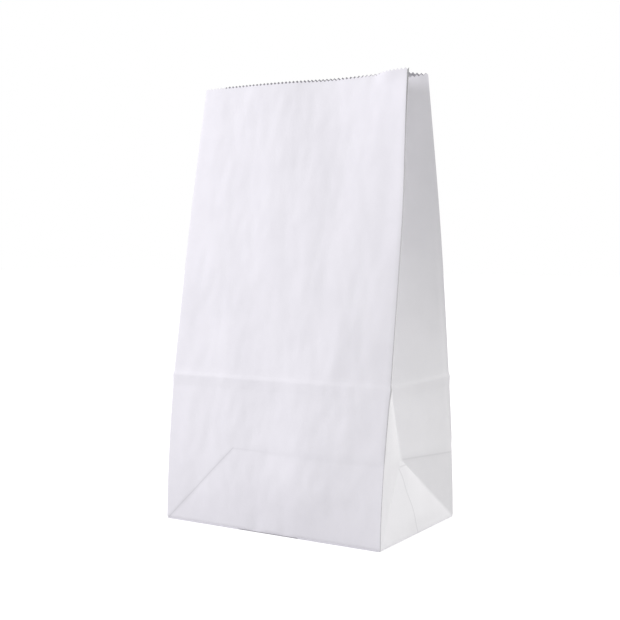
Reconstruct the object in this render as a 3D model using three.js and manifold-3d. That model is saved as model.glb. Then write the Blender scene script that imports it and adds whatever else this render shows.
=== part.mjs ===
// A block-bottomed paper bag with side gussets, folded and glued from one tube of white paper,
// standing open on its bottom. Millimetres, +Z up. The origin is the middle of the bottom,
// the front panel faces -Y, and the mouth is at the top.
//
// A point of the paper is given by its panel, its distance along that panel and its height
// up the unfolded sheet. One function per panel says where such a point stands in space.
import * as THREE from "three";
import { mergeVertices } from "three/addons/utils/BufferGeometryUtils.js";
import Module from "manifold-3d";

// The folded sheet
const bagWidth = 180;
const bagDepth = 116;
const bagHeight = 328;
const paperThickness = 0.12;

// The serrated cut at the mouth and at the ends of the bottom flaps
const toothPitch = 3.2;
const toothDepth = 1.4;

// Heights up the sheet where the walls change slope
const creaseHeight = 108;
const shoulderHeight = 216;

// The mouth, almost closed on the left and spread on the right: where the front panel's two
// corners stand in Y, and how far behind them the back panel's corners are
const mouthFrontLeft = -6.5;
const mouthFrontRight = -16;
const mouthGapLeft = 9.5;
const mouthGapRight = 26;
const mouthCornerInset = 2.5;

// Share of its way to the mouth that each upright fold has come at the crease and the shoulder
const leans = {
  frontLeft: { crease: 0.18, shoulder: 0.55 },
  frontRight: { crease: 0.33, shoulder: 0.69 },
  backRight: { crease: 0.2, shoulder: 0.53 },
  backLeft: { crease: 0.2, shoulder: 0.53 },
};

// Front panel at the mouth: a hollow that deepens from the left-hand fold, and a strip along
// the right-hand fold that flares forward out of it
const mouthHollow = 8.5;
const hollowReach = 118;
const flareWidth = 34;
const flareSlope = 22;
const flareLip = 1.6;

// Front panel lower down: a soft ridge, this far from the right-hand fold
const bellyRise = 3;
const bellyPlace = 50;

// Back panel: how far its middle is drawn in at the mouth, and the glued lap that closes the tube
const backHollow = 2.5;
const seamPlace = 82;
const seamWidth = 15;
const seamStep = 0.3;

// Gussets: how far the centre fold is tucked in low down, as a share of a full tuck, how far
// it sags, and how far the right-hand gusset's front half bows away from the flared strip
const lowTuckShare = 0.66;
const gussetDrop = 6.5;
const rightTuckBow = 4.5;

// Relief of the pressed creases and of the two dents above the front edge of the bottom
const creaseRise = 0.5;
const creaseReach = 4;
const lowCreaseSink = 0.4;
const dents = [
  { place: 82, width: 7, height: 54, depth: 1.3 },
  { place: 104, width: 6, height: 40, depth: 1.0 },
];

// The bottom's flaps: how far the two long ones overlap, and how deep the layers bite for gluing
const flapOverlap = 16;
const glueBite = 0.02;

// Fineness of the mesh
const cornerSteps = 6;
const middleStep = 6.8;
const wallStep = 18;
const creaseStep = 12;
const rimBand = 4.5;
const leastStep = 1;
const longestMiter = 2.5;
const mergeDistance = 1e-5;

const paperMaterial = new THREE.MeshStandardMaterial({
  color: 0xf1f0f5,
  roughness: 0.82,
  metalness: 0,
});

const halfWidth = bagWidth / 2;
const halfDepth = bagDepth / 2;
const rootHeight = bagHeight - toothDepth;
const { clamp, lerp, smoothstep } = THREE.MathUtils;

// The four upright folds, from the bottom's corners to the mouth
const folds = {
  frontLeft: makeFold(-1, -1, mouthFrontLeft, leans.frontLeft, 0),
  frontRight: makeFold(1, -1, mouthFrontRight, leans.frontRight, mouthCornerInset),
  backRight: makeFold(1, 1, mouthFrontRight + mouthGapRight, leans.backRight, 0),
  backLeft: makeFold(-1, 1, mouthFrontLeft + mouthGapLeft, leans.backLeft, 0),
};

function makeFold(sideX, sideY, mouthY, lean, inset) {
  const above = new THREE.CubicInterpolant(
    [creaseHeight, shoulderHeight, bagHeight],
    [lean.crease, lean.shoulder, 1],
    1,
  );
  return { sideX, footY: sideY * halfDepth, mouthY, lean, above, inset };
}

// A fold is straight up to the crease and bends smoothly above it.
function foldPoint(fold, height) {
  const share =
    height < creaseHeight
      ? (fold.lean.crease * height) / creaseHeight
      : fold.above.evaluate(height)[0];
  const y = lerp(fold.footY, fold.mouthY, share);
  const leaning = y - fold.footY;
  const inset = fold.inset * smoothstep(height, shoulderHeight, bagHeight);
  return new THREE.Vector3(
    fold.sideX * (halfWidth - inset),
    y,
    Math.sqrt(height * height - leaning * leaning),
  );
}

// How much of the mouth's shape a point of this height shows, from 0 at the shoulder to 1.
function mouthShare(height) {
  return clamp((height - shoulderHeight) / (bagHeight - shoulderHeight), 0, 1);
}

// Inward shape of the front panel at the mouth: a long hollow, then the flared strip's lip.
function hollowAt(distance) {
  const rise = Math.sin((Math.PI / 2) * Math.min(1, distance / hollowReach));
  const flareStart = bagWidth - flareWidth;
  const flareEnd = flareStart + flareSlope;
  const hollow = mouthHollow * rise * (1 - smoothstep(distance, flareStart, flareEnd));
  const lipMiddle = (flareEnd + bagWidth) / 2;
  const fromLip = (distance - lipMiddle) / (bagWidth - lipMiddle);
  const lip = flareLip * Math.max(0, 1 - fromLip * fromLip);
  return hollow - lip;
}

// Outward shape of the front panel below the shoulder: two flat facets that meet in a soft
// ridge, which runs up to the crease and from there across to the right-hand fold.
function bellyAt(distance, height) {
  if (height >= shoulderHeight) return 0;
  const across = clamp((height - creaseHeight) / (shoulderHeight - creaseHeight), 0, 1);
  const ridge = lerp(bagWidth - bellyPlace, bagWidth, across);
  const rise = bellyRise * Math.min(height / creaseHeight, 1 - across);
  const slope = distance < ridge ? distance / ridge : (bagWidth - distance) / (bagWidth - ridge);
  return rise * slope;
}

function frontPoint(distance, height) {
  const point = foldPoint(folds.frontLeft, height);
  point.lerp(foldPoint(folds.frontRight, height), distance / bagWidth);
  point.y += hollowAt(distance) * mouthShare(height) - bellyAt(distance, height);
  return point;
}

// Distances on the back panel run from its right-hand fold to its left-hand fold.
function backPoint(distance, height) {
  const point = foldPoint(folds.backRight, height);
  point.lerp(foldPoint(folds.backLeft, height), distance / bagWidth);
  const drawnIn = backHollow * Math.sin((Math.PI * distance) / bagWidth);
  point.y -= drawnIn * smoothstep(height, creaseHeight, bagHeight);
  return point;
}

const gussets = {
  right: { front: folds.frontRight, back: folds.backRight, sideX: 1, frontBow: rightTuckBow },
  left: { front: folds.frontLeft, back: folds.backLeft, sideX: -1, frontBow: 0 },
};

// The centre fold of a gusset. It is tucked in as far as the gusset's halves allow, or less
// low down, and stands midway between the front and back panels.
function gussetCentre(gusset, height) {
  const front = foldPoint(gusset.front, height);
  const back = foldPoint(gusset.back, height);
  const spread = (back.y - front.y) / 2;
  const fullTuck = Math.sqrt(halfDepth * halfDepth - spread * spread);
  const tuck = fullTuck * lerp(lowTuckShare, 1, smoothstep(height, creaseHeight, bagHeight));
  const x = gusset.sideX * (halfWidth - tuck);
  const frontY = frontPoint(halfWidth + x, height).y;
  const backY = backPoint(halfWidth - x, height).y;
  return new THREE.Vector3(x, (frontY + backY) / 2, (front.z + back.z) / 2 - gussetDrop);
}

// A point on one half of a gusset, at a distance from that half's upright fold. Below the
// height of the apex the half is folded along the diagonal from the bottom's corner, and
// beyond that fold it belongs to the triangle that stands on the bottom's edge.
function gussetPoint(gusset, fold, otherFold, distance, height) {
  const edge = foldPoint(fold, height);
  if (height >= halfDepth) {
    const point = edge.lerp(gussetCentre(gusset, height), distance / halfDepth);
    const bow = fold === gusset.front ? gusset.frontBow * mouthShare(height) : 0;
    point.y += bow * Math.sin((Math.PI * distance) / halfDepth);
    return point;
  }
  const corner = foldPoint(fold, 0);
  const otherCorner = foldPoint(otherFold, 0);
  const apex = gussetCentre(gusset, halfDepth);
  const diagonal = corner.clone().lerp(apex, height / halfDepth);
  if (distance < height) {
    return edge.lerp(diagonal, distance / height);
  }
  const along = otherCorner.sub(corner).multiplyScalar((distance - height) / bagDepth);
  return diagonal.add(along);
}

// The panels in order round the tube, anticlockwise seen from above. The diagonal folds low
// down rise away from each upright fold, so risesAt says which way they run at a distance.
const panels = [
  { name: "front", width: bagWidth, place: frontPoint, risesAt: (distance) => distance < halfWidth },
  {
    name: "rightGussetFront",
    width: halfDepth,
    risesAt: () => true,
    place: (distance, height) =>
      gussetPoint(gussets.right, folds.frontRight, folds.backRight, distance, height),
  },
  {
    name: "rightGussetBack",
    width: halfDepth,
    risesAt: () => false,
    place: (distance, height) =>
      gussetPoint(gussets.right, folds.backRight, folds.frontRight, halfDepth - distance, height),
  },
  { name: "back", width: bagWidth, place: backPoint, risesAt: (distance) => distance < halfWidth },
  {
    name: "leftGussetBack",
    width: halfDepth,
    risesAt: () => true,
    place: (distance, height) =>
      gussetPoint(gussets.left, folds.backLeft, folds.frontLeft, distance, height),
  },
  {
    name: "leftGussetFront",
    width: halfDepth,
    risesAt: () => false,
    place: (distance, height) =>
      gussetPoint(gussets.left, folds.frontLeft, folds.backLeft, halfDepth - distance, height),
  },
];

// Evenly spaced values from start up to, and without, end
function spaced(start, end, count) {
  return Array.from({ length: count }, (_, i) => lerp(start, end, i / count));
}

// How many steps of about the given length fit into a stretch
function stepsIn(length, step) {
  return Math.max(1, Math.round(length / step));
}

// Where the grid's columns stand on a panel. Near a corner they are as far apart as the rows
// low down, so that the diagonal folds run through the grid's corners.
function columnDistances(panel) {
  const corner = spaced(0, halfDepth, cornerSteps);
  if (panel.width !== bagWidth) return corner;
  const middleEnd = bagWidth - halfDepth;
  const distances = [
    ...corner,
    ...spaced(halfDepth, middleEnd, stepsIn(middleEnd - halfDepth, middleStep)),
    ...spaced(middleEnd, bagWidth, cornerSteps),
  ];
  if (panel.name !== "back") return distances;
  const seamEnd = seamPlace + seamWidth;
  const seamEdges = [seamPlace, seamPlace + seamStep, seamEnd - seamStep, seamEnd];
  const clear = distances.filter((d) => seamEdges.every((edge) => Math.abs(d - edge) > leastStep));
  return [...clear, ...seamEdges].sort((a, b) => a - b);
}

// Heights of the grid's rows up the sheet, from the bottom's edge to just under the teeth
function rowHeights() {
  const creaseFoot = creaseHeight - creaseReach;
  const creaseTop = creaseHeight + creaseReach;
  const gridTop = bagHeight - rimBand;
  return [
    ...spaced(0, halfDepth, cornerSteps),
    ...spaced(halfDepth, creaseFoot, stepsIn(creaseFoot - halfDepth, creaseStep)),
    creaseFoot,
    creaseHeight,
    ...spaced(creaseTop, gridTop, stepsIn(gridTop - creaseTop, wallStep)),
    gridTop,
  ];
}

// How many layers of paper the tube has at a place: two in the glued lap
function pliesAt(panel, distance) {
  const inLap =
    panel.name === "back" &&
    distance >= seamPlace + seamStep &&
    distance <= seamPlace + seamWidth - seamStep;
  return inLap ? 2 : 1;
}

// A tent of the given rise, falling to nothing at the given reach
function tent(offset, reach, rise) {
  return rise * Math.max(0, 1 - Math.abs(offset) / reach);
}

// Outward relief of the pressed creases and dents
function reliefAt(panel, distance, height) {
  let relief = tent(height - creaseHeight, creaseReach, creaseRise);
  if (panel.width !== bagWidth) return relief;
  const fromCorner = Math.min(distance, bagWidth - distance);
  if (fromCorner >= halfDepth) {
    relief -= tent(height - halfDepth, creaseReach, lowCreaseSink);
  } else if (height > 0 && height <= halfDepth) {
    relief -= tent(height - fromCorner, creaseReach, lowCreaseSink);
  }
  if (panel.name !== "front" || height === 0) return relief;
  for (const dent of dents) {
    const fade = Math.max(0, 1 - height / dent.height);
    relief -= tent(distance - dent.place, dent.width, dent.depth) * fade;
  }
  return relief;
}

// The whole outer face of the walls as a list of spots on the sheet and triangles between them
function wallSheet() {
  const rows = rowHeights();
  const spots = [];
  const triangles = [];
  const columns = panels.flatMap((panel, i) => {
    const start = panelStart(i);
    return columnDistances(panel).map((distance) => ({ panel, distance, around: start + distance }));
  });
  rows.forEach((height) => {
    columns.forEach((column) => spots.push({ ...column, height }));
  });
  const count = columns.length;
  for (let row = 0; row + 1 < rows.length; row++) {
    for (let i = 0; i < count; i++) {
      const next = (i + 1) % count;
      const low = row * count;
      const high = low + count;
      if (columns[i].panel.risesAt(columns[i].distance)) {
        triangles.push([low + i, low + next, high + next], [low + i, high + next, high + i]);
      } else {
        triangles.push([low + i, low + next, high + i], [low + next, high + next, high + i]);
      }
    }
  }
  const rimStart = spots.length;
  panels.forEach((panel, i) => {
    spaced(0, panel.width, stepsIn(panel.width, toothPitch / 2)).forEach((distance) => {
      const isTip = (spots.length - rimStart) % 2 === 1;
      const height = isTip ? bagHeight : rootHeight;
      spots.push({ panel, distance, around: panelStart(i) + distance, height });
    });
  });
  const gridTop = (rows.length - 1) * count;
  triangles.push(...stitch(spots, gridTop, count, rimStart, spots.length - rimStart));
  return { spots, triangles, footCount: count, rimStart };
}

function panelStart(index) {
  return panels.slice(0, index).reduce((sum, panel) => sum + panel.width, 0);
}

// Triangles between two rings of spots, each in order round the tube
function stitch(spots, lowStart, lowCount, highStart, highCount) {
  const perimeter = panelStart(panels.length);
  const around = (start, count, i) => (i < count ? spots[start + i].around : perimeter);
  const triangles = [];
  let low = 0;
  let high = 0;
  while (low < lowCount || high < highCount) {
    const a = lowStart + (low % lowCount);
    const b = highStart + (high % highCount);
    const lowIsNext =
      high === highCount ||
      (low < lowCount && around(lowStart, lowCount, low + 1) <= around(highStart, highCount, high + 1));
    if (lowIsNext) {
      low += 1;
      triangles.push([a, lowStart + (low % lowCount), b]);
    } else {
      high += 1;
      triangles.push([a, highStart + (high % highCount), b]);
    }
  }
  return triangles;
}

// Vertex normals of a triangle list, each lengthened so that an offset along it keeps the
// same distance to the faces on both sides of a fold.
function foldedNormals(points, triangles) {
  const sums = points.map(() => new THREE.Vector3());
  const faces = triangles.map(([a, b, c]) => {
    const triangle = new THREE.Triangle(points[a], points[b], points[c]);
    const normal = triangle.getNormal(new THREE.Vector3());
    return { corners: [a, b, c], normal, area: triangle.getArea() };
  });
  faces.forEach(({ corners, normal, area }) => {
    corners.forEach((corner) => sums[corner].addScaledVector(normal, area));
  });
  sums.forEach((sum) => sum.normalize());
  const least = points.map(() => 1);
  faces.forEach(({ corners, normal }) => {
    corners.forEach((corner) => {
      least[corner] = Math.min(least[corner], sums[corner].dot(normal));
    });
  });
  return sums.map((sum, i) => sum.divideScalar(Math.max(least[i], 1 / longestMiter)));
}

// The walls as a closed shell: the outer face, the inner face one thickness in, and the strips
// that join them along the foot and round the teeth.
function wallGeometry() {
  const { spots, triangles, footCount, rimStart } = wallSheet();
  const flat = spots.map((spot) => spot.panel.place(spot.distance, spot.height));
  const flatNormals = foldedNormals(flat, triangles);
  const face = flat.map((point, i) => {
    const { panel, distance, height } = spots[i];
    return point.clone().addScaledVector(flatNormals[i].normalize(), reliefAt(panel, distance, height));
  });
  const normals = foldedNormals(face, triangles);
  for (let i = 0; i < footCount; i++) {
    normals[i].z = 0;
  }
  const outer = face.map((point, i) => {
    const extra = pliesAt(spots[i].panel, spots[i].distance) - 1;
    return point.clone().addScaledVector(normals[i], extra * paperThickness);
  });
  const inner = face.map((point, i) => point.clone().addScaledVector(normals[i], -paperThickness));
  const total = spots.length;
  const shell = triangles.flatMap(([a, b, c]) => [
    [a, b, c],
    [c + total, b + total, a + total],
  ]);
  for (let i = 0; i < footCount; i++) {
    const next = (i + 1) % footCount;
    shell.push([next, i, i + total], [next, i + total, next + total]);
  }
  const rimCount = total - rimStart;
  for (let i = 0; i < rimCount; i++) {
    const here = rimStart + i;
    const next = rimStart + ((i + 1) % rimCount);
    shell.push([here, next, next + total], [here, next + total, here + total]);
  }
  const geometry = new THREE.BufferGeometry().setFromPoints([...outer, ...inner]);
  geometry.setIndex(shell.flat());
  return geometry;
}

// A zigzag of whole teeth along Y = y from x = from to x = to, pointing along +Y
function toothedEdge(from, to, y) {
  const count = stepsIn(Math.abs(to - from), toothPitch);
  return Array.from({ length: 2 * count + 1 }, (_, i) => {
    const x = lerp(from, to, i / (2 * count));
    return new THREE.Vector2(x, i % 2 === 1 ? y : y - toothDepth);
  });
}

// A flat plate of an outline, between two levels
function plate(outline, bottom, top) {
  const geometry = new THREE.ExtrudeGeometry(new THREE.Shape(outline), {
    depth: top - bottom,
    bevelEnabled: false,
  });
  return geometry.translate(0, 0, bottom);
}

const flapLength = halfDepth + flapOverlap / 2;
const edgeIn = paperThickness / 2;

// A long flap: its root on the front edge of the bottom, 45 degree folds at both ends and
// a toothed free edge past the bottom's middle.
function longFlap(bottom, top) {
  const root = -halfDepth + edgeIn;
  const free = -halfDepth + flapLength;
  const side = halfWidth - edgeIn;
  const freeSide = halfWidth - flapLength + toothDepth;
  const outline = [
    new THREE.Vector2(-side, root),
    new THREE.Vector2(side, root),
    ...toothedEdge(freeSide, -freeSide, free),
  ];
  return plate(outline, bottom, top);
}

// A side flap: a rectangle across the bottom's depth with a toothed free edge
function sideFlap(bottom, top) {
  const side = halfDepth - edgeIn;
  const outline = [
    new THREE.Vector2(side, -halfWidth + edgeIn),
    ...toothedEdge(side, -side, -halfWidth + flapLength),
    new THREE.Vector2(-side, -halfWidth + edgeIn),
  ];
  return plate(outline, bottom, top).rotateZ(-Math.PI / 2);
}

// The triangle of a long flap's paper that the 45 degree fold lays under the side flap
function cornerWing(bottom, top) {
  const corner = new THREE.Vector2(halfWidth - edgeIn, -halfDepth + edgeIn);
  const reach = flapLength - toothDepth;
  const outline = [
    corner,
    new THREE.Vector2(halfWidth - reach, -halfDepth + reach),
    new THREE.Vector2(halfWidth - reach, corner.y),
  ];
  return plate(outline, bottom, top);
}

const wasm = await Module();
wasm.setup();

function solidFrom(geometry) {
  const bare = new THREE.BufferGeometry();
  bare.setAttribute("position", geometry.getAttribute("position"));
  bare.setIndex(geometry.index);
  const merged = mergeVertices(bare, mergeDistance);
  return new wasm.Manifold(
    new wasm.Mesh({
      numProp: 3,
      vertProperties: new Float32Array(merged.getAttribute("position").array),
      triVerts: new Uint32Array(merged.index.array),
    }),
  );
}

function geometryFrom(solid) {
  const mesh = solid.getMesh();
  const geometry = new THREE.BufferGeometry();
  geometry.setAttribute("position", new THREE.BufferAttribute(new Float32Array(mesh.vertProperties), 3));
  geometry.setIndex(new THREE.BufferAttribute(new Uint32Array(mesh.triVerts), 1));
  geometry.computeVertexNormals();
  return geometry;
}

// The bottom, from the table up: the outer long flap, the inner long flap behind it, the four
// corner wings, and the two side flaps that show inside the bag.
function bottomLayers() {
  const level = (layer) => layer * paperThickness;
  return [
    longFlap(0, level(1) + glueBite),
    longFlap(level(1) - glueBite, level(2) + glueBite).rotateZ(Math.PI),
    cornerWing(level(1) - glueBite, level(3) + glueBite),
    mirroredX(cornerWing(level(1) - glueBite, level(3) + glueBite)),
    cornerWing(level(2) - glueBite, level(3) + glueBite).rotateZ(Math.PI),
    mirroredX(cornerWing(level(2) - glueBite, level(3) + glueBite)).rotateZ(Math.PI),
    sideFlap(level(3) - glueBite, level(4)),
    sideFlap(level(3) - glueBite, level(4)).rotateZ(Math.PI),
  ];
}

// The mirror image of a geometry across the plane X = 0, with its faces turned back out
function mirroredX(geometry) {
  const image = geometry.clone().scale(-1, 1, 1);
  const position = image.getAttribute("position");
  const corner = new THREE.Vector3();
  const other = new THREE.Vector3();
  for (let i = 0; i < position.count; i += 3) {
    corner.fromBufferAttribute(position, i);
    other.fromBufferAttribute(position, i + 1);
    position.setXYZ(i, other.x, other.y, other.z);
    position.setXYZ(i + 1, corner.x, corner.y, corner.z);
  }
  return image;
}

function makeBag() {
  const walls = solidFrom(wallGeometry());
  const bag = bottomLayers().reduce((solid, layer) => solid.add(solidFrom(layer)), walls);
  const mesh = new THREE.Mesh(geometryFrom(bag), paperMaterial);
  mesh.name = "bag";
  return mesh;
}

const object = new THREE.Group();
object.add(makeBag());
export default object;
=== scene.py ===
import math

import bmesh
import bpy
from bpy.props import FloatProperty, FloatVectorProperty, IntProperty, PointerProperty
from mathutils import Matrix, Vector, noise


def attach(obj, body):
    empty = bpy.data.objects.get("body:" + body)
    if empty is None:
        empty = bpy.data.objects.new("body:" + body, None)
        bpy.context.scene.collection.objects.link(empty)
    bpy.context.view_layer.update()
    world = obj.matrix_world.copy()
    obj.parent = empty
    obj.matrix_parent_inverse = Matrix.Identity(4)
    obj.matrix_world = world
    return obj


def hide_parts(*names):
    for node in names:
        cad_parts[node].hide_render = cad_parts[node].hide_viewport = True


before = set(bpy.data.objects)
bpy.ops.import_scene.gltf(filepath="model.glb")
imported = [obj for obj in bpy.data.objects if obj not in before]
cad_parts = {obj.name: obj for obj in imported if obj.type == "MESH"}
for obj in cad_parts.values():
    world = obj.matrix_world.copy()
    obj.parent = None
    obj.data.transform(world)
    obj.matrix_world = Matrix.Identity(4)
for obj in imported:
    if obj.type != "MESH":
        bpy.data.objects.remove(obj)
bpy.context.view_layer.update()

bl_info = {
    "name": "Paper Bread Bag",
    "version": (1, 0, 0),
    "blender": (4, 5, 0),
    "location": "3D View > Sidebar > Paper Bag",
    "description": "Folds a white block-bottomed paper bag from one sheet and sets it on a studio floor",
    "category": "Add Mesh",
}

# A point of the paper is given by its distance along the panel that it lies on and its height
# up the unfolded sheet. All lengths are in metres.
MM = 0.001


def clamp(value, low=0.0, high=1.0):
    return max(low, min(high, value))


def lerp(start, end, share):
    return start + (end - start) * share


def smoothstep(value, start, end):
    share = clamp((value - start) / (end - start))
    return share * share * (3 - 2 * share)


def tent(offset, reach):
    return max(0.0, 1 - abs(offset) / reach)


def bell(offset, reach):
    """A smooth hump of height 1 that has faded out at about twice the reach."""
    return math.exp(-((offset / reach) ** 2))


class PaperBagSizes(bpy.types.PropertyGroup):
    """Sizes and colours of the bag"""

    width: FloatProperty(
        name="Width", description="Front panel from fold to fold", default=0.180, unit="LENGTH"
    )
    depth: FloatProperty(
        name="Depth", description="Both halves of a gusset, laid flat", default=0.116, unit="LENGTH"
    )
    height: FloatProperty(
        name="Height",
        description="Sheet from the bottom's edge to the teeth",
        default=0.328,
        unit="LENGTH",
    )
    paper: FloatProperty(
        name="Paper", description="Thickness of the paper", default=0.00012, unit="LENGTH"
    )
    tooth_depth: FloatProperty(
        name="Tooth Depth", description="Depth of the serrated cut", default=0.0014, unit="LENGTH"
    )
    crease_height: FloatProperty(
        name="Crease Height",
        description="Height of the crease that folds the bottom flat against the bag",
        default=0.108,
        unit="LENGTH",
    )
    shoulder_height: FloatProperty(
        name="Shoulder Height",
        description="Height above which the walls turn in towards the mouth",
        default=0.216,
        unit="LENGTH",
    )
    crease_rise: FloatProperty(
        name="Crease Rise",
        description="How far the pressed crease stands out",
        default=0.0007,
        unit="LENGTH",
    )
    waviness: FloatProperty(
        name="Waviness",
        description="Scale of how far the paper's soft waves stand out",
        default=0.0005,
        unit="LENGTH",
    )
    corner_columns: IntProperty(
        name="Corner Columns", description="Half teeth across one half of a gusset", default=36
    )
    middle_columns: IntProperty(
        name="Middle Columns", description="Half teeth between the corners of a wide panel", default=40
    )
    paper_color: FloatVectorProperty(
        name="Paper Color",
        description="Bleached paper",
        default=(0.884, 0.876, 0.903),
        subtype="COLOR",
    )
    shade_color: FloatVectorProperty(
        name="Shade Color",
        description="Cloudy spots of the paper",
        default=(0.836, 0.829, 0.856),
        subtype="COLOR",
    )


def hermite(value, start, end, low, high, slope_in, slope_out):
    """A cubic from low to high with the given slopes at its ends."""
    length = end - start
    t = (value - start) / length
    return (
        (2 * t**3 - 3 * t**2 + 1) * low
        + (t**3 - 2 * t**2 + t) * length * slope_in
        + (3 * t**2 - 2 * t**3) * high
        + (t**3 - t**2) * length * slope_out
    )


# The mouth, almost closed on the left and spread on the right
MOUTH_FRONT_LEFT = -6.5 * MM
MOUTH_FRONT_RIGHT = -16 * MM
MOUTH_GAP_LEFT = 9.5 * MM
MOUTH_GAP_RIGHT = 26 * MM
MOUTH_CORNER_INSET = 2.5 * MM

# Share of its way to the mouth that each upright fold has come at the crease and the shoulder
FRONT_LEFT_LEAN = (0.18, 0.55)
FRONT_RIGHT_LEAN = (0.33, 0.69)
BACK_LEAN = (0.2, 0.53)

# How the folds curve below the crease: above 1 they stand straighter low down
LOW_CURVE = 1.6

# The front's hollow: its depth at the mouth, how much of it is an even slope, and how wide its
# flanks are. The right-hand flank ends on the fold and is narrower lower down.
MOUTH_HOLLOW = 8.5 * MM
HOLLOW_EVENNESS = 0.5
HOLLOW_FOOT = 150 * MM
HOLLOW_POWER = 1.6
LEFT_FLANK = 70 * MM
RIGHT_FLANK_LOW = 40 * MM
RIGHT_FLANK_HIGH = 62 * MM

# The strip beside the right-hand fold, which stands flat near the mouth and ends in a steep step
STRIP_WIDTH = 13 * MM
STRIP_STEP = 20 * MM
STRIP_REACH = 15 * MM
STRIP_STEEPNESS = 0.8

# The soft ridge of the front: how far it stands out at the crease, and its distance from the
# right-hand fold up to there. Above the crease it runs to that fold.
BELLY_RISE = 3 * MM
BELLY_PLACE = 50 * MM

# The edge that the right-hand gusset leaves straight back beside its front fold
ROUND_START = 1.7 * MM
ROUND_END = 6 * MM
ROUND_LOW = 0.7
ROUND_AT_RIM = 1.4
ROUND_RIM_REACH = 45 * MM

# How far the middle of the back is drawn in at the mouth
BACK_HOLLOW = 2.5 * MM

# The back's rim stands a little higher than the front's, the more the wider the mouth is open
BACK_LIFT = 0.55 * MM
BACK_LIFT_PER_GAP = 0.17
BACK_LIFT_REACH_LEFT = 14 * MM
BACK_LIFT_REACH_RIGHT = 34 * MM

# Gussets: the tuck low down as a share of a full tuck, how far the centre fold sags, and how
# far the right-hand gusset's front half bows back at the mouth
LOW_TUCK_SHARE = 0.66
GUSSET_DROP = 6.5 * MM
RIGHT_TUCK_BOW = 4.5 * MM


class UprightFold:
    """One of the four folds from the bottom's corners to the mouth."""

    def __init__(self, sizes, side_x, side_y, mouth_y, lean, inset=0):
        self.sizes = sizes
        self.side_x = side_x
        self.foot_y = side_y * sizes.depth / 2
        self.mouth_y = mouth_y
        self.at_crease, self.at_shoulder = lean
        self.inset = inset

    def share(self, height):
        """How much of its way to the mouth the fold has come, bending smoothly above the crease."""
        low, middle, high = self.sizes.crease_height, self.sizes.shoulder_height, self.sizes.height
        if height < low:
            return self.at_crease * (height / low) ** LOW_CURVE
        first = (self.at_shoulder - self.at_crease) / (middle - low)
        second = (1 - self.at_shoulder) / (high - middle)
        between = (first + second) / 2
        if height < middle:
            return hermite(height, low, middle, self.at_crease, self.at_shoulder, first, between)
        return hermite(height, middle, high, self.at_shoulder, 1, between, second)

    def point(self, height):
        y = lerp(self.foot_y, self.mouth_y, self.share(height))
        inset = self.inset * smoothstep(height, self.sizes.shoulder_height, self.sizes.height)
        x = self.side_x * (self.sizes.width / 2 - inset)
        return Vector((x, y, math.sqrt(height**2 - (y - self.foot_y) ** 2)))


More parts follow.
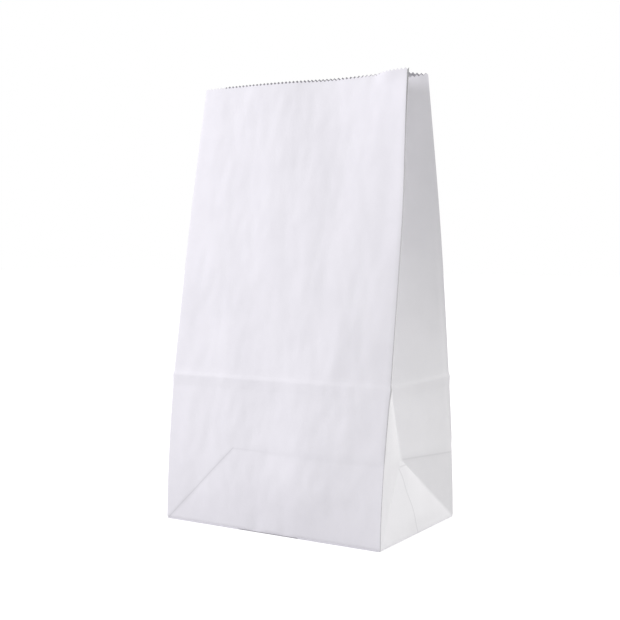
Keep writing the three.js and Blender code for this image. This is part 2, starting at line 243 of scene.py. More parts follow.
class FoldedBag:
    """Where each point of the sheet stands in space."""

    def __init__(self, sizes):
        self.sizes = sizes
        self.half_width = sizes.width / 2
        self.half_depth = sizes.depth / 2
        back_left = MOUTH_FRONT_LEFT + MOUTH_GAP_LEFT
        back_right = MOUTH_FRONT_RIGHT + MOUTH_GAP_RIGHT
        self.front_left = UprightFold(sizes, -1, -1, MOUTH_FRONT_LEFT, FRONT_LEFT_LEAN)
        self.front_right = UprightFold(
            sizes, 1, -1, MOUTH_FRONT_RIGHT, FRONT_RIGHT_LEAN, MOUTH_CORNER_INSET
        )
        self.back_right = UprightFold(sizes, 1, 1, back_right, BACK_LEAN)
        self.back_left = UprightFold(sizes, -1, 1, back_left, BACK_LEAN)

    def mouth_share(self, height):
        """How much of the mouth's shape a point of this height shows."""
        shoulder = self.sizes.shoulder_height
        return clamp((height - shoulder) / (self.sizes.height - shoulder))

    def hollow(self, distance, height):
        """Inward shape of the front: a hollow that deepens towards the mouth, beside a flat strip."""
        width, rim = self.sizes.width, self.sizes.height
        amount = clamp((height - HOLLOW_FOOT) / (rim - HOLLOW_FOOT)) ** HOLLOW_POWER
        from_right = width - distance
        right_flank = lerp(RIGHT_FLANK_LOW, RIGHT_FLANK_HIGH, self.mouth_share(height))
        deepest = width - right_flank
        if distance > deepest:
            slope = math.sin(math.pi / 2 * from_right / right_flank)
            step = smoothstep(from_right, STRIP_WIDTH, STRIP_WIDTH + STRIP_STEP)
            near_rim = smoothstep(height, rim - STRIP_REACH, rim) ** 2
            shape = lerp(slope, step, STRIP_STEEPNESS * near_rim)
        else:
            curve = smoothstep(distance, deepest - LEFT_FLANK, deepest)
            shape = lerp(curve, distance / deepest, HOLLOW_EVENNESS)
        return MOUTH_HOLLOW * amount * shape

    def belly(self, distance, height):
        """Outward shape of the front below the shoulder: two facets that meet in a soft ridge."""
        crease, shoulder = self.sizes.crease_height, self.sizes.shoulder_height
        width = self.sizes.width
        if height >= shoulder:
            return 0
        across = clamp((height - crease) / (shoulder - crease))
        ridge = lerp(width - BELLY_PLACE, width, across)
        rise = BELLY_RISE * min(height / crease, 1 - across)
        return rise * (distance / ridge if distance < ridge else (width - distance) / (width - ridge))

    def front(self, distance, height):
        share = distance / self.sizes.width
        point = self.front_left.point(height).lerp(self.front_right.point(height), share)
        point.y += self.hollow(distance, height) - self.belly(distance, height)
        point.z = math.sqrt(max(0, height**2 - (point.y + self.half_depth) ** 2))
        return point

    def back(self, distance, height):
        """Distances on the back run from its right-hand fold to its left-hand fold."""
        share = distance / self.sizes.width
        point = self.back_right.point(height).lerp(self.back_left.point(height), share)
        drawn_in = BACK_HOLLOW * math.sin(math.pi * share)
        point.y -= drawn_in * smoothstep(height, self.sizes.crease_height, self.sizes.height)
        front = self.front(self.sizes.width - distance, height)
        lift = front.z - point.z + BACK_LIFT + BACK_LIFT_PER_GAP * (point.y - front.y)
        lift *= smoothstep(distance, 0, BACK_LIFT_REACH_RIGHT)
        lift *= smoothstep(self.sizes.width - distance, 0, BACK_LIFT_REACH_LEFT)
        point.z += lift * smoothstep(height, self.sizes.shoulder_height, self.sizes.height)
        return point

    def gusset_centre(self, side_x, height):
        """The centre fold of a gusset, tucked in as far as its halves allow, or less low down."""
        front_fold, back_fold = self.side_folds(side_x)
        front, back = front_fold.point(height), back_fold.point(height)
        spread = (back.y - front.y) / 2
        rise = smoothstep(height, self.sizes.crease_height, self.sizes.height)
        tuck = math.sqrt(self.half_depth**2 - spread**2) * lerp(LOW_TUCK_SHARE, 1, rise)
        x = side_x * (self.half_width - tuck)
        front_y = self.front(self.half_width + x, height).y
        back_y = self.back(self.half_width - x, height).y
        return Vector((x, (front_y + back_y) / 2, (front.z + back.z) / 2 - GUSSET_DROP))

    def side_folds(self, side_x):
        if side_x > 0:
            return self.front_right, self.back_right
        return self.front_left, self.back_left

    def round_fold(self, edge, point, distance, height):
        """Lets the gusset leave its front fold straight back, before it turns in."""
        rim = self.sizes.height
        stretch = lerp(ROUND_LOW, ROUND_AT_RIM, smoothstep(height, rim - ROUND_RIM_REACH, rim))
        straight = edge + Vector((0, distance * stretch, 0))
        weight = smoothstep(distance, ROUND_END, ROUND_START)
        weight *= smoothstep(height, self.half_depth, self.half_depth + ROUND_END)
        return point.lerp(straight, weight)

    def gusset(self, side_x, is_front, distance, height):
        """A point on one half of a gusset, at a distance from that half's upright fold."""
        front_fold, back_fold = self.side_folds(side_x)
        fold, other = (front_fold, back_fold) if is_front else (back_fold, front_fold)
        edge = fold.point(height)
        if height >= self.half_depth:
            point = edge.lerp(self.gusset_centre(side_x, height), distance / self.half_depth)
            if is_front and side_x > 0:
                bow = RIGHT_TUCK_BOW * self.mouth_share(height)
                point.y += bow * math.sin(math.pi * distance / self.half_depth)
                return self.round_fold(edge, point, distance, height)
            return point
        corner, other_corner = fold.point(0), other.point(0)
        apex = self.gusset_centre(side_x, self.half_depth)
        diagonal = corner.lerp(apex, height / self.half_depth)
        if distance < height:
            return edge.lerp(diagonal, distance / height)
        return diagonal + (other_corner - corner) * ((distance - height) / self.sizes.depth)


# The main crease: a ridge that drops steeply above and falls away slowly below
CREASE_ABOVE = 3.2 * MM
CREASE_BELOW = 8 * MM

# How much of the crease is left at the front's right-hand end
CREASE_END = 0.45

# The bottom part of the wide panels lies back by this step, along the fold from the corner
# and along a level crease as high as half the depth
LOW_STEP = 0.35 * MM
STEP_REACH = 1.2 * MM

# On a gusset's back half that step comes to full height this far from the upright fold, and its
# crease is this much lower at that fold than at the gusset's centre
LOW_BACK_FADE = 6 * MM
LOW_BACK_TILT = 8 * MM

# How far the fold round the bottom is tucked in and off the floor
EDGE_TUCK = 0.5 * MM

# Dents that rise from the bottom edge of the front: place, half width, height and depth
DENTS = ((80 * MM, 8 * MM, 50 * MM, 0.6 * MM), (104 * MM, 7 * MM, 38 * MM, 0.45 * MM))

# A soft bulge in the front's lower right: its place, the height of its top, its half width, how
# far it stands out and the height where it has faded out
BULGE_PLACE = 126 * MM
BULGE_HEIGHT = 36 * MM
BULGE_HALF_WIDTH = 42 * MM
BULGE_RISE = 2.6 * MM
BULGE_FADE = 3 * BULGE_HEIGHT

# The crumpled ridge down the middle of a gusset's bottom triangle
RIDGE_RISE = 1.2 * MM
RIDGE_FADE = 14 * MM
RIDGE_SWAY = 2.2 * MM
RIDGE_WAVE = 40 * MM

# The paper's soft waves: how wide, high and strong the broad and the fine ones are, how far from
# the folds and the bottom's edge they have come to full height, and the slice of the noise
# that each panel takes
BROAD_WAVE = (26 * MM, 75 * MM)
BROAD_STRENGTH = 2
FINE_WAVE = (7 * MM, 13 * MM)
FINE_STRENGTH = 0.6
WAVES_FROM_FOLD = 20 * MM
WAVES_FROM_FOOT = 25 * MM
FRONT_SLICE = 3.7
BACK_SLICE = 9.2
FINE_SLICE_OFFSET = 5

# Rows of the grid from half the depth up to the crease's foot, on its two slopes and on to the
# rim, and the last rows' distances under the roots of the teeth
ROWS_BELOW_CREASE = 14
ROWS_ON_CREASE = (8, 4)
ROWS_ABOVE_CREASE = 56
RIM_ROWS = (2 * MM, 0.5 * MM, 0)

# The glued lap of the back, in columns of the back's grid
LAP_START_COLUMN = 51
LAP_COLUMNS = 9

# The attribute that marks the inner face, where the rim gets painted shade, and the UV map of places on
# the flat sheet, by which the painted shade is placed
INSIDE = "inside"
SHEET_MAP = "sheet"

# What two places on the flat sheet may differ by and still count as the same
TOLERANCE = 1e-6

# Edges that bend by more than this stay sharp
SMOOTH_ANGLE = math.radians(28)

# The teeth of the bottom's flaps
TOOTH_PITCH = 3.2 * MM

# How far the two long flaps of the bottom overlap
FLAP_OVERLAP = 16 * MM

# The bottom's flaps: the turn about Z of the front and the back ones, and how many layers of
# paper each is laid above. The side flaps share one layer.
HALF_TURN = math.pi
LONG_FLAP_LAYERS = ((0, 0), (HALF_TURN, 1))
WING_LAYERS = ((0, 1), (HALF_TURN, 2))
SIDE_FLAP_LAYER = 3
WING_ROWS = 4


class Spot:
    """A grid point of the sheet: its panel, its distance along the panel, its height, and its
    layer, which is 1 on the outside of the lap."""

    def __init__(self, panel, distance, height, layer):
        self.panel = panel
        self.distance = distance
        self.height = height
        self.layer = layer


class SheetPlan:
    """The flat sheet's columns and rows. The sheet starts and ends in the glued lap of the back."""

    def __init__(self, sizes):
        self.sizes = sizes
        corner = sizes.corner_columns
        self.wide = 2 * corner + sizes.middle_columns
        self.columns = self.column_places()
        self.rows = self.row_heights()

    def wide_distance(self, column):
        """Distance of a column on the front or back, with square cells in the corners."""
        corner = self.sizes.corner_columns
        half_depth = self.sizes.depth / 2
        middle = self.sizes.width - 2 * half_depth
        if column <= corner:
            return half_depth * column / corner
        if column <= self.wide - corner:
            return half_depth + middle * (column - corner) / self.sizes.middle_columns
        return self.sizes.width - half_depth * (self.wide - column) / corner

    def column_places(self):
        """(panel, distance, layer) of each column from one end of the lap round to the other."""
        half = self.sizes.corner_columns
        step = self.sizes.depth / 2 / half
        back_first = [
            ("back", self.wide_distance(i), 0) for i in range(LAP_START_COLUMN, self.wide)
        ]
        back_last = [
            ("back", self.wide_distance(i), 1 if i > LAP_START_COLUMN else 0)
            for i in range(LAP_START_COLUMN + LAP_COLUMNS + 1)
        ]
        return (
            back_first
            + [("left_back", i * step, 0) for i in range(half)]
            + [("left_front", (half - i) * step, 0) for i in range(half)]
            + [("front", self.wide_distance(i), 0) for i in range(self.wide)]
            + [("right_front", i * step, 0) for i in range(half)]
            + [("right_back", (half - i) * step, 0) for i in range(half)]
            + back_last
        )

    def row_heights(self):
        half_depth = self.sizes.depth / 2
        crease, height = self.sizes.crease_height, self.sizes.height
        corner = self.sizes.corner_columns
        root = height - self.sizes.tooth_depth
        rows = [half_depth * i / corner for i in range(corner)]
        foot_rows, top_rows = ROWS_ON_CREASE
        rows += spaced(half_depth, crease - CREASE_BELOW, ROWS_BELOW_CREASE)
        rows += spaced(crease - CREASE_BELOW, crease, foot_rows)
        rows += spaced(crease, crease + CREASE_ABOVE, top_rows)
        rows += spaced(crease + CREASE_ABOVE, root - RIM_ROWS[0], ROWS_ABOVE_CREASE)
        return rows + [root - below for below in RIM_ROWS]

    def back_rest(self):
        """Distance round the sheet of the fold between the back and the left-hand gusset."""
        return self.sizes.width - self.wide_distance(LAP_START_COLUMN)

    def fold_place(self):
        """Distance round the sheet of the fold between the front and the right-hand gusset."""
        return self.back_rest() + self.sizes.depth + self.sizes.width

    def spot(self, column, row):
        panel, distance, layer = self.columns[column]
        is_rim = row == len(self.rows) - 1
        height = self.sizes.height if is_rim and self.is_tip(column) else self.rows[row]
        return Spot(panel, distance, height, layer)

    def is_tip(self, column):
        """Whether a column ends in the tip of a tooth and not in the root between two."""
        return (column + LAP_START_COLUMN + self.wide) % 2 == 1

    def rises(self, around):
        """Whether the diagonal fold there rises along the sheet, or None where there is none."""
        sizes = self.sizes
        half_depth = sizes.depth / 2
        place = around - self.back_rest()
        if place < 0:
            from_left = -place
            return None if from_left > half_depth else False
        if place < sizes.depth:
            return place < half_depth
        place -= sizes.depth
        if place < sizes.width:
            if min(place, sizes.width - place) > half_depth:
                return None
            return place < half_depth
        place -= sizes.width
        if place < sizes.depth:
            return place < half_depth
        return True if place - sizes.depth < half_depth else None


def spaced(start, end, count):
    return [lerp(start, end, i / count) for i in range(count)]


def deselect():
    if bpy.context.object and bpy.context.object.mode != "OBJECT":
        bpy.ops.object.mode_set(mode="OBJECT")
    bpy.ops.object.select_all(action="DESELECT")


def select_only(piece):
    deselect()
    piece.select_set(True)
    bpy.context.view_layer.objects.active = piece


def add_grid(name, columns, rows):
    deselect()
    bpy.ops.mesh.primitive_grid_add(
        x_subdivisions=columns, y_subdivisions=rows, size=1, calc_uvs=True
    )
    grid = bpy.context.object
    grid.name = name
    grid.data.name = name
    return grid


def cell(co, columns, rows):
    """Column and row of a vertex of a new grid, which is 1 wide and centred."""
    return round((co.x + 0.5) * columns), round((co.y + 0.5) * rows)


def apply_modifier(piece, kind, **settings):
    select_only(piece)
    modifier = piece.modifiers.new(kind.title(), kind)
    for name, value in settings.items():
        setattr(modifier, name, value)
    bpy.ops.object.modifier_apply(modifier=modifier.name)


def sheet_relief(sizes, spot):
    """How far a point of the paper stands out of its flat panel."""
    above = spot.height - sizes.crease_height
    relief = sizes.crease_rise * tent(above, CREASE_ABOVE if above > 0 else CREASE_BELOW)
    if spot.panel == "front":
        relief *= lerp(1, CREASE_END, spot.distance / sizes.width)
        relief += front_bulge(sizes, spot) - front_dents(spot)
    if spot.panel in ("front", "back"):
        return relief + low_step(sizes, spot) + waves(sizes, spot)
    if spot.panel in ("left_back", "right_back"):
        relief += low_back_step(sizes, spot)
    return relief + triangle_ridge(sizes, spot)


def front_dents(spot):
    if spot.height == 0:
        return 0
    depths = [
        depth * smoothstep(abs(spot.distance - place), half_width, 0) * max(0, 1 - spot.height / reach)
        for place, half_width, reach, depth in DENTS
    ]
    return sum(depths)


def front_bulge(sizes, spot):
    across = bell(spot.distance - BULGE_PLACE, BULGE_HALF_WIDTH)
    across *= smoothstep(sizes.width - spot.distance, 0, BULGE_HALF_WIDTH)
    up = smoothstep(spot.height, 0, BULGE_HEIGHT) * smoothstep(spot.height, BULGE_FADE, BULGE_HEIGHT)
    return BULGE_RISE * across * up


def low_back_step(sizes, spot):
    """The step across a gusset's back half, on from the level crease of the wide panels."""
    half_depth = sizes.depth / 2
    above = spot.height - half_depth + LOW_BACK_TILT * (1 - spot.distance / half_depth)
    fade = smoothstep(spot.distance, 0, LOW_BACK_FADE)
    return LOW_STEP * smoothstep(above, -STEP_REACH, STEP_REACH) * fade


def triangle_ridge(sizes, spot):
    """Two facets that meet in a swaying ridge down the middle of the gusset's bottom triangle."""
    half_depth = sizes.depth / 2
    half_base = half_depth - spot.height
    if half_base <= 0 or spot.distance <= spot.height:
        return 0
    sway = RIDGE_SWAY * math.sin(2 * math.pi * spot.height / RIDGE_WAVE)
    from_middle = half_depth - spot.distance
    from_middle = from_middle + sway if spot.panel.endswith("front") else from_middle - sway
    rise = RIDGE_RISE * smoothstep(spot.height, 0, RIDGE_FADE) * smoothstep(half_base, 0, RIDGE_FADE)
    return rise * tent(from_middle, half_base)


def low_step(sizes, spot):
    """The step round the bottom part of a wide panel. On the front it runs on to the right."""
    half_depth = sizes.depth / 2
    from_corner = spot.distance if spot.panel == "front" else sizes.width - spot.distance
    from_corner = min(from_corner, half_depth)
    above = spot.height - from_corner
    return LOW_STEP * smoothstep(above, -STEP_REACH, STEP_REACH)


def waves(sizes, spot):
    """Soft standing waves of a panel, which die away towards its folds and the bottom's edge."""
    edge = min(spot.distance, sizes.width - spot.distance)
    fade = smoothstep(edge, 0, WAVES_FROM_FOLD) * smoothstep(spot.height, 0, WAVES_FROM_FOOT)
    depth = FRONT_SLICE if spot.panel == "front" else BACK_SLICE
    broad = wave(spot, *BROAD_WAVE, depth)
    fine = wave(spot, *FINE_WAVE, depth + FINE_SLICE_OFFSET)
    return sizes.waviness * fade * (BROAD_STRENGTH * broad + FINE_STRENGTH * fine)


def wave(spot, width, height, depth):
    return noise.noise(Vector((spot.distance / width, spot.height / height, depth)))


def make_walls(sizes):
    """The four walls, folded from a flat grid."""
    plan = SheetPlan(sizes)
    columns, rows = len(plan.columns) - 1, len(plan.rows) - 1
    walls = add_grid("walls", columns, rows)
    cells = [cell(vertex.co, columns, rows) for vertex in walls.data.vertices]
    sheet_map(walls.data, cells, plan)
    fold_sheet(walls.data, [plan.spot(column, row) for column, row in cells], sizes)
    split_along_diagonals(walls, plan)
    walls.vertex_groups.new(name=INSIDE)
    apply_modifier(
        walls,
        "SOLIDIFY",
        thickness=sizes.paper,
        offset=-1,
        use_even_offset=False,
        shell_vertex_group=INSIDE,
    )
    mark_inside(walls)
    select_only(walls)
    bpy.ops.object.shade_smooth_by_angle(angle=SMOOTH_ANGLE)
    return walls


def fold_sheet(mesh, spots, sizes):
    """Moves each vertex from the flat grid to its place on the bag, and out by its relief."""
    bag = FoldedBag(sizes)
    places = {
        "front": bag.front,
        "back": bag.back,
        "left_back": lambda d, h: bag.gusset(-1, False, d, h),
        "left_front": lambda d, h: bag.gusset(-1, True, d, h),
        "right_front": lambda d, h: bag.gusset(1, True, d, h),
        "right_back": lambda d, h: bag.gusset(1, False, d, h),
    }
    for vertex, spot in zip(mesh.vertices, spots):
        vertex.co = places[spot.panel](spot.distance, spot.height)
    mesh.update()
    normals = [vertex.normal.copy() for vertex in mesh.vertices]
    for vertex, spot, normal in zip(mesh.vertices, spots, normals):
        lift = sheet_relief(sizes, spot) + spot.layer * sizes.paper
        vertex.co += normal * lift
        if spot.height == 0:
            vertex.co += Vector((-normal.x, -normal.y, 1)) * EDGE_TUCK


def mark_inside(walls):
    """Turns the vertex group of the inner face into an attribute that the material reads for its painted
    shade inside the rim.
    """
    group = walls.vertex_groups[INSIDE].index
    values = [
        max((entry.weight for entry in vertex.groups if entry.group == group), default=0)
        for vertex in walls.data.vertices
    ]
    walls.vertex_groups.clear()
    attribute = walls.data.attributes.new(INSIDE, "FLOAT", "POINT")
    attribute.data.foreach_set("value", values)


def sheet_map(mesh, cells, plan):
    """Writes each point's place on the flat sheet, in metres, as the UV map."""
    corner_step = plan.sizes.depth / 2 / plan.sizes.corner_columns
    around = [0.0]
    for (panel, distance, _), (next_panel, next_distance, _) in zip(plan.columns, plan.columns[1:]):
        step = abs(next_distance - distance) if panel == next_panel else corner_step
        around.append(around[-1] + step)
    uv = mesh.uv_layers.active
    uv.name = SHEET_MAP
    for loop in mesh.loops:
        column, row = cells[loop.vertex_index]
        uv.data[loop.index].uv = (around[column], plan.rows[row])


def split_along_diagonals(walls, plan):
    """Splits the square cells of the corners along the folds that run up from the bottom's corners."""
    bpy.context.view_layer.objects.active = walls
    for method, rising in (("FIXED", True), ("FIXED_ALTERNATE", False)):
        bpy.ops.object.mode_set(mode="EDIT")
        bpy.ops.mesh.select_all(action="DESELECT")
        bm = bmesh.from_edit_mesh(walls.data)
        uv = bm.loops.layers.uv.active
        for face in bm.faces:
            if len(face.verts) != 4:
                continue
            if face_rises(plan, face, uv) is rising:
                face.select_set(True)
        bmesh.update_edit_mesh(walls.data)
        bpy.ops.mesh.quads_convert_to_tris(quad_method=method, ngon_method="BEAUTY")
        bpy.ops.object.mode_set(mode="OBJECT")


def face_rises(plan, face, uv):
    """True or False for a cell whose panel's diagonal rises or falls through it, else None."""
    places = [loop[uv].uv for loop in face.loops]
    high = max(p.y for p in places)
    if high > plan.sizes.depth / 2 + TOLERANCE:
        return None
    return plan.rises(sum(p.x for p in places) / len(places))


def make_bottom(sizes):
    """The flaps of the bottom: two side flaps inside, their corner wings and two long flaps."""
    paper = sizes.paper
    flap = sizes.depth / 2 + FLAP_OVERLAP / 2
    pieces = [long_flap(sizes, flap, turn, layers * paper) for turn, layers in LONG_FLAP_LAYERS]
    for turn in (0, HALF_TURN):
        pieces.append(side_flap(sizes, flap, turn, SIDE_FLAP_LAYER * paper))
    for turn, layers in WING_LAYERS:
        for mirror in (1, -1):
            pieces.append(corner_wing(sizes, flap, turn, mirror, layers * paper))
    deselect()
    for piece in pieces:
        piece.select_set(True)
    bpy.context.view_layer.objects.active = pieces[0]
    bpy.ops.object.join()
    bottom = bpy.context.object
    bottom.name = "bottom_flaps"
    bottom.data.name = "bottom_flaps"
    return bottom


def flat_grid(name, columns, rows, place, turn, level, paper):
    """A grid whose cells are laid out by place(column, row), turned about Z and given thickness."""
    grid = add_grid(name, columns, rows)
    cosine, sine = math.cos(turn), math.sin(turn)
    cells = [cell(vertex.co, columns, rows) for vertex in grid.data.vertices]
    for vertex, (column, row) in zip(grid.data.vertices, cells):
        x, y = place(column, row)
        vertex.co = Vector((x * cosine - y * sine, x * sine + y * cosine, level + paper))
    uv = grid.data.uv_layers.active
    uv.name = SHEET_MAP
    for loop in grid.data.loops:
        co = grid.data.vertices[loop.vertex_index].co
        uv.data[loop.index].uv = (co.x, co.y)
    face_up(grid)
    apply_modifier(grid, "SOLIDIFY", thickness=paper, offset=-1)
    return grid


def face_up(grid):
    """Turns the grid's faces up where they look down."""
    select_only(grid)
    bpy.ops.object.mode_set(mode="EDIT")
    bpy.ops.mesh.select_all(action="SELECT")
    if grid.data.polygons[0].normal.z < 0:
        bpy.ops.mesh.flip_normals()
    bpy.ops.object.mode_set(mode="OBJECT")


def long_flap(sizes, length, turn, level):
    """A flap from the front edge of the bottom, with 45 degree ends and a toothed edge."""
    half_width, half_depth = sizes.width / 2, sizes.depth / 2
    free_half = half_width - length + sizes.tooth_depth
    teeth = round(2 * free_half / TOOTH_PITCH)

    def place(column, row):
        share = column / teeth - 1
        if row == 0:
            return share * half_width, -half_depth
        cut = 0 if column % 2 else sizes.tooth_depth
        return share * free_half, -half_depth + length - cut

    return flat_grid("long_flap", 2 * teeth, 1, place, turn, level, sizes.paper)


def side_flap(sizes, length, turn, level):
    """A flap across the bottom's depth, from its right-hand edge, with a toothed edge."""
    half_width, half_depth = sizes.width / 2, sizes.depth / 2
    teeth = round(sizes.depth / TOOTH_PITCH)

    def place(column, row):
        y = (column / teeth - 1) * half_depth
        if row == 0:
            return half_width, y
        cut = 0 if column % 2 else sizes.tooth_depth
        return half_width - length + cut, y

    return flat_grid("side_flap", 2 * teeth, 1, place, turn, level, sizes.paper)


def corner_wing(sizes, length, turn, mirror, level):
    """The triangle between the bottom's front edge and the 45 degree fold from its corner."""
    half_width, half_depth = sizes.width / 2, sizes.depth / 2
    reach = length - sizes.tooth_depth

    def place(column, row):
        x = half_width - reach * row / WING_ROWS
        y = -half_depth + reach * row / WING_ROWS * column
        return mirror * x, y

    return flat_grid("corner_wing", 1, WING_ROWS, place, turn, level, sizes.paper)


class Field:
    """A number that varies over a surface, kept as a socket. Arithmetic on it adds Math nodes."""

    def __init__(self, nodes, socket):
        self.nodes = nodes
        self.socket = socket

    def _math(self, operation, first, second):
        values = [getattr(value, "socket", value) for value in (first, second)]
        return self.nodes.add("ShaderNodeMath", {"operation": operation}, dict(enumerate(values)))

    def __add__(self, other):
        return self._math("ADD", self, other)

    __radd__ = __add__

    def __sub__(self, other):
        return self._math("SUBTRACT", self, other)

    def __rsub__(self, other):
        return self._math("SUBTRACT", other, self)

    def __mul__(self, other):
        return self._math("MULTIPLY", self, other)

    __rmul__ = __mul__

    def __abs__(self):
        return self._math("ABSOLUTE", self, 0)

    def sine(self):
        return self._math("SINE", self, 0)

    def smooth(self, start, end):
        """0 at start, 1 at end and smooth between."""
        return self.nodes.add(
            "ShaderNodeMapRange",
            {"interpolation_type": "SMOOTHSTEP"},
            {"Value": self, "From Min": start, "From Max": end},
        )


class Nodes:
    """The node tree of one material or world, emptied."""

    def __init__(self, owner):
        owner.use_nodes = True
        self.tree = owner.node_tree
        self.tree.nodes.clear()

    def add(self, kind, settings=None, inputs=None, output=0):
        """Adds a node, sets it, fills its sockets by name or index, and gives back an output."""
        node = self.tree.nodes.new(kind)
        for name, value in (settings or {}).items():
            setattr(node, name, value)
        for name, value in (inputs or {}).items():
            value = getattr(value, "socket", value)
            if isinstance(value, bpy.types.NodeSocket):
                self.tree.links.new(value, node.inputs[name])
            else:
                node.inputs[name].default_value = value
        return Field(self, node.outputs[output]) if node.outputs else None

    def mix(self, factor, first, second):
        """Mixes two colours. A Mix node keeps its colours in sockets 6 and 7 and output 2."""
        inputs = {0: factor, 6: first, 7: second}
        return self.add("ShaderNodeMix", {"data_type": "RGBA"}, inputs, output=2)


PAPER_NAME = "bleached_paper"

# The paper's clouds and fibres: their scale, their share of the mottling, and what they add to
# the bump and the roughness
CLOUD_SCALE = 28
CLOUD_EDGES = (0.3, 0.7)
CLOUD_SHARE = 0.6
FIBRE_SCALE = (900, 900, 260)
BUMP_STRENGTH = 0.25
BUMP_DISTANCE = 0.08 * MM
CLOUD_BUMP = 0.5
ROUGHNESS = 0.62
FIBRE_ROUGHNESS = 0.16

# The dark colour that all painted shade is mixed towards: the lines of the folds and creases, the
# gusset's top and the inside of the rim
PAINTED_SHADE_COLOR = (0.1, 0.1, 0.11, 1)

# The painted shade line behind the front's right-hand fold, and how much stronger it is at the mouth
FOLD_SHADE_WIDTH = 1.6 * MM
FOLD_SHADE = 0.42
FOLD_SHADE_RISE = 0.25

# Painted shade on the top of the right-hand gusset and on the inside of the rim, by the distance below
# the rim
GUSSET_TOP = 32 * MM
GUSSET_TOP_SHADE = 0.05
RIM_SHADE = 0.62
RIM_SHADE_START = 5 * MM
RIM_SHADE_END = 2 * MM

# Painted shade lines along the low creases, and how faint the front's level one is and the share of the
# width where it has faded out
CREASE_LINE = 0.9 * MM
CREASE_SHADE = 0.11
CREASE_LEVEL_SHARE = 0.4
CREASE_LEVEL_END = 0.6

# Painted shade lines along the right-hand gusset's low creases: down its triangle, swaying and leaning
# forward, under its apex, and across its back half, with painted shade below that crease
CRUMPLE_STRENGTH = 1.3
CRUMPLE_WAVE = 27 * MM
CRUMPLE_SWAY = 0.6 * MM
CRUMPLE_LEAN = 0.12
CRUMPLE_HEIGHT = 5 * MM
LOW_BACK_STRENGTH = 0.7
LOW_BACK_SHADE = 0.035


def crease_line(offset, core=0.3):
    """Mask of a painted shade line: 1 on a crease and 0 at a line's width from it. The core is the share
    of it that stays dark.
    """
    return abs(offset).smooth(CREASE_LINE, CREASE_LINE * core)


def fold_shade(sizes, from_fold, height):
    """Painted shade: a dark line just behind the front's right-hand fold, stronger towards the mouth."""
    line = abs(from_fold - FOLD_SHADE_WIDTH / 2)
    line = line.smooth(FOLD_SHADE_WIDTH * 0.75, FOLD_SHADE_WIDTH * 0.4)
    rise = height.smooth(sizes.shoulder_height, sizes.height)
    return line * (rise * FOLD_SHADE_RISE + FOLD_SHADE)


# Painted shade over the top of the right-hand gusset, darker towards the rim
def gusset_top_shade(sizes, from_fold, height):
    in_gusset = from_fold.smooth(0, FOLD_SHADE_WIDTH)
    in_gusset = in_gusset * from_fold.smooth(sizes.depth, sizes.depth - FOLD_SHADE_WIDTH)
    return in_gusset * height.smooth(sizes.height - GUSSET_TOP, sizes.height) * GUSSET_TOP_SHADE


def low_crease_shade(sizes, from_left, height):
    """Painted shade along the front's low crease: up from the left-hand corner, then level and fading
    out.
    """
    width, half_depth = sizes.width, sizes.depth / 2
    on_diagonal = from_left.smooth(0, 2 * MM) * from_left.smooth(half_depth + MM, half_depth)
    on_level = from_left.smooth(half_depth, half_depth + MM) * from_left.smooth(width, width - MM)
    fading = from_left.smooth(width * CREASE_LEVEL_END, half_depth) * CREASE_LEVEL_SHARE
    diagonal = crease_line(height - from_left) * on_diagonal
    level = crease_line(height - half_depth) * on_level * fading
    return (diagonal + level) * CREASE_SHADE


def gusset_crease_shade(sizes, from_fold, height):
    """Painted shade along the low creases of the right-hand gusset, and below the crease across its back
    half.
    """
    half_depth = sizes.depth / 2
    from_centre = from_fold - half_depth
    sway = (height * (2 * math.pi / CRUMPLE_WAVE)).sine() * CRUMPLE_SWAY
    centre = crease_line(from_centre + sway + height * CRUMPLE_LEAN, core=0.2) * CRUMPLE_STRENGTH
    centre = centre * height.smooth(half_depth, half_depth - CRUMPLE_HEIGHT)
    apex = crease_line(height - (half_depth - CRUMPLE_HEIGHT), core=0.2)
    apex = apex * abs(from_centre).smooth(CRUMPLE_HEIGHT, CRUMPLE_HEIGHT * 0.8)
    on_back = from_centre.smooth(0, 3 * MM) * from_centre.smooth(half_depth, half_depth - MM)
    above = height - half_depth + from_centre * (LOW_BACK_TILT / half_depth)
    level = crease_line(above) * CREASE_SHADE * LOW_BACK_STRENGTH
    above_diagonal = (height + from_fold).smooth(sizes.depth, sizes.depth + 2 * MM)
    below = above.smooth(MM, -MM) * above_diagonal * LOW_BACK_SHADE
    return (centre + apex) * CREASE_SHADE + on_back * (level + below)


def painted_shade(nodes, sizes):
    """All the painted shade of the folds, the creases, the gusset's top and the rim, by a point's place
    on the flat sheet.
    """
    sheet = nodes.add("ShaderNodeUVMap", {"uv_map": SHEET_MAP})
    around = nodes.add("ShaderNodeSeparateXYZ", {}, {0: sheet}, output="X")
    height = nodes.add("ShaderNodeSeparateXYZ", {}, {0: sheet}, output="Y")
    from_fold = around - SheetPlan(sizes).fold_place()
    inside = nodes.add("ShaderNodeAttribute", {"attribute_name": INSIDE}, output="Fac")
    # Painted shade on the inner face just under the teeth
    painted_rim_shade = height.smooth(sizes.height - RIM_SHADE_START, sizes.height - RIM_SHADE_END)
    return (
        fold_shade(sizes, from_fold, height)
        + gusset_top_shade(sizes, from_fold, height)
        + low_crease_shade(sizes, from_fold + sizes.width, height)
        + gusset_crease_shade(sizes, from_fold, height)
        + inside * painted_rim_shade * RIM_SHADE
    )


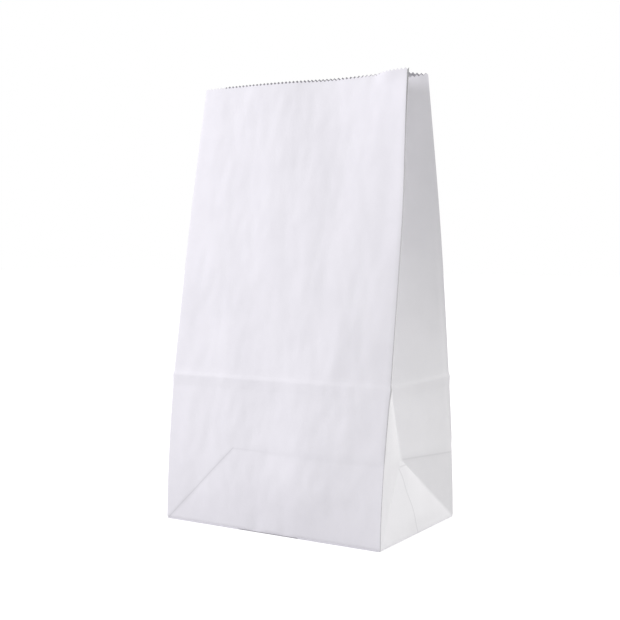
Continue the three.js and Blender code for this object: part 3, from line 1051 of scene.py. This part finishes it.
def paper_material(sizes):
    """Bleached kraft paper: cloudy, faintly fibrous and matt, with a dry sheen."""
    material = bpy.data.materials.new(PAPER_NAME)
    nodes = Nodes(material)
    place = nodes.add("ShaderNodeTexCoord", output="Object")
    cloud = nodes.add(
        "ShaderNodeTexNoise",
        {"noise_dimensions": "3D"},
        {"Vector": place, "Scale": CLOUD_SCALE, "Detail": 3, "Roughness": 0.55},
    )
    fibre_place = nodes.add("ShaderNodeMapping", {}, {"Vector": place, "Scale": FIBRE_SCALE})
    fibre = nodes.add(
        "ShaderNodeTexNoise", {}, {"Vector": fibre_place, "Scale": 1, "Detail": 4, "Roughness": 0.6}
    )
    mottle = cloud.smooth(*CLOUD_EDGES) * CLOUD_SHARE + fibre * (1 - CLOUD_SHARE)
    color = nodes.mix(mottle, (*sizes.shade_color, 1), (*sizes.paper_color, 1))
    # Painted shade: the folds, the creases, the gusset's top and the inside of the rim are darkened in
    # the colour
    color = nodes.mix(painted_shade(nodes, sizes), color, PAINTED_SHADE_COLOR)
    relief = fibre + cloud * CLOUD_BUMP
    bump = nodes.add(
        "ShaderNodeBump",
        {},
        {"Strength": BUMP_STRENGTH, "Distance": BUMP_DISTANCE, "Height": relief},
    )
    roughness = ROUGHNESS + fibre * FIBRE_ROUGHNESS
    shader = nodes.add(
        "ShaderNodeBsdfPrincipled",
        {},
        {"Base Color": color, "Roughness": roughness, "Normal": bump},
    )
    nodes.add("ShaderNodeOutputMaterial", {}, {"Surface": shader})
    return material


# The floor is grey to the light, so that it throws less back, and glows to the camera only
FLOOR_SIZE = 12
FLOOR_GREY = (0.5, 0.5, 0.5, 1)
FLOOR_GLOW = 0.8
WHITE = (1, 1, 1, 1)

WORLD_LEVEL = 0.73

# The key lamp stands in front to the left, the side lamp behind to the right
LAMP_TARGET = (0, 0, 0.15)
KEY_LAMP = {"place": (-1.15, -0.95, 0.7), "size": 0.5, "power": 11.8, "color": (1, 0.965, 1.07)}
SIDE_LAMP = {"place": (1.3, 1.0, 0.4), "size": 0.8, "power": 10.1, "color": (1, 0.995, 0.965)}

# The camera, fitted to the photograph: its turn is in degrees, its lens and sensor in millimetres
CAMERA_PLACE = (0.43819, -0.70921, 0.20532)
CAMERA_TURN = (86.611, 0, 31.744)
CAMERA_LENS = 65.27
CAMERA_SENSOR = 36


def floor_material():
    """A white floor that keeps the bag's soft shadow and otherwise melts into the background."""
    material = bpy.data.materials.new("floor")
    nodes = Nodes(material)
    seen = nodes.add("ShaderNodeLightPath", output="Is Camera Ray")
    matt = nodes.add("ShaderNodeBsdfDiffuse", {}, {"Color": FLOOR_GREY})
    glow = nodes.add("ShaderNodeEmission", {}, {"Color": WHITE, "Strength": seen * FLOOR_GLOW})
    both = nodes.add("ShaderNodeAddShader", {}, {0: matt, 1: glow})
    nodes.add("ShaderNodeOutputMaterial", {}, {"Surface": both})
    return material


def set_world():
    """White to the camera, and a plain even light on everything else."""
    world = bpy.data.worlds.new("studio")
    bpy.context.scene.world = world
    nodes = Nodes(world)
    seen = nodes.add("ShaderNodeLightPath", output="Is Camera Ray")
    strength = seen * (1 - WORLD_LEVEL) + WORLD_LEVEL
    background = nodes.add("ShaderNodeBackground", {}, {"Color": WHITE, "Strength": strength})
    nodes.add("ShaderNodeOutputWorld", {}, {"Surface": background})


def add_lamp(name, place, size, power, color):
    """A round lamp that points at the bag."""
    deselect()
    bpy.ops.object.light_add(type="AREA", location=place)
    lamp = bpy.context.object
    lamp.name = name
    lamp.data.shape = "DISK"
    lamp.data.size = size
    lamp.data.energy = power
    lamp.data.color = color
    beam = Vector(LAMP_TARGET) - Vector(place)
    lamp.rotation_euler = beam.to_track_quat("-Z", "Y").to_euler()


def add_camera():
    turn = [math.radians(angle) for angle in CAMERA_TURN]
    bpy.ops.object.camera_add(location=CAMERA_PLACE, rotation=turn)
    camera = bpy.context.object
    camera.name = "camera"
    camera.data.sensor_width = CAMERA_SENSOR
    camera.data.lens = CAMERA_LENS
    bpy.context.scene.camera = camera


def dress(piece, sizes):
    """Paper all over the piece, which stands for the sheet of the part and rides on its body."""
    material = bpy.data.materials.get(PAPER_NAME) or paper_material(sizes)
    piece.data.materials.clear()
    piece.data.materials.append(material)
    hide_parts("bag")
    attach(piece, "root")


class OBJECT_OT_paper_bag_walls(bpy.types.Operator):
    """Fold the walls, the gussets and the glued lap from one flat grid"""

    bl_idname = "object.paper_bag_walls"
    bl_label = "Fold the Walls"

    def execute(self, context):
        sizes = context.scene.paper_bag
        dress(make_walls(sizes), sizes)
        return {"FINISHED"}


class OBJECT_OT_paper_bag_bottom(bpy.types.Operator):
    """Fold the flaps of the block bottom"""

    bl_idname = "object.paper_bag_bottom"
    bl_label = "Fold the Bottom"

    def execute(self, context):
        sizes = context.scene.paper_bag
        dress(make_bottom(sizes), sizes)
        return {"FINISHED"}


class SCENE_OT_paper_bag_stage(bpy.types.Operator):
    """Set the floor, the light and the camera"""

    bl_idname = "scene.paper_bag_stage"
    bl_label = "Set the Stage"

    def execute(self, context):
        deselect()
        bpy.ops.mesh.primitive_plane_add(size=FLOOR_SIZE)
        floor = bpy.context.object
        floor.name = "floor"
        floor.data.materials.append(floor_material())
        set_world()
        add_lamp("key", **KEY_LAMP)
        add_lamp("side", **SIDE_LAMP)
        add_camera()
        context.scene.view_settings.view_transform = "Standard"
        return {"FINISHED"}


class VIEW3D_PT_paper_bag(bpy.types.Panel):
    """Sizes of the bag and the steps that make it"""

    bl_idname = "VIEW3D_PT_paper_bag"
    bl_label = "Paper Bag"
    bl_space_type = "VIEW_3D"
    bl_region_type = "UI"
    bl_category = "Paper Bag"

    def draw(self, context):
        layout = self.layout
        sizes = context.scene.paper_bag
        for name in sizes.bl_rna.properties.keys():
            if name not in ("rna_type", "name"):
                layout.prop(sizes, name)
        layout.operator(OBJECT_OT_paper_bag_walls.bl_idname)
        layout.operator(OBJECT_OT_paper_bag_bottom.bl_idname)
        layout.operator(SCENE_OT_paper_bag_stage.bl_idname)


classes = (
    PaperBagSizes,
    OBJECT_OT_paper_bag_walls,
    OBJECT_OT_paper_bag_bottom,
    SCENE_OT_paper_bag_stage,
    VIEW3D_PT_paper_bag,
)


def register():
    for cls in classes:
        bpy.utils.register_class(cls)
    bpy.types.Scene.paper_bag = PointerProperty(type=PaperBagSizes)


def unregister():
    del bpy.types.Scene.paper_bag
    for cls in reversed(classes):
        bpy.utils.unregister_class(cls)


def main():
    register()
    bpy.ops.scene.paper_bag_stage()
    bpy.ops.object.paper_bag_walls()
    bpy.ops.object.paper_bag_bottom()


if __name__ == "__main__":
    main()
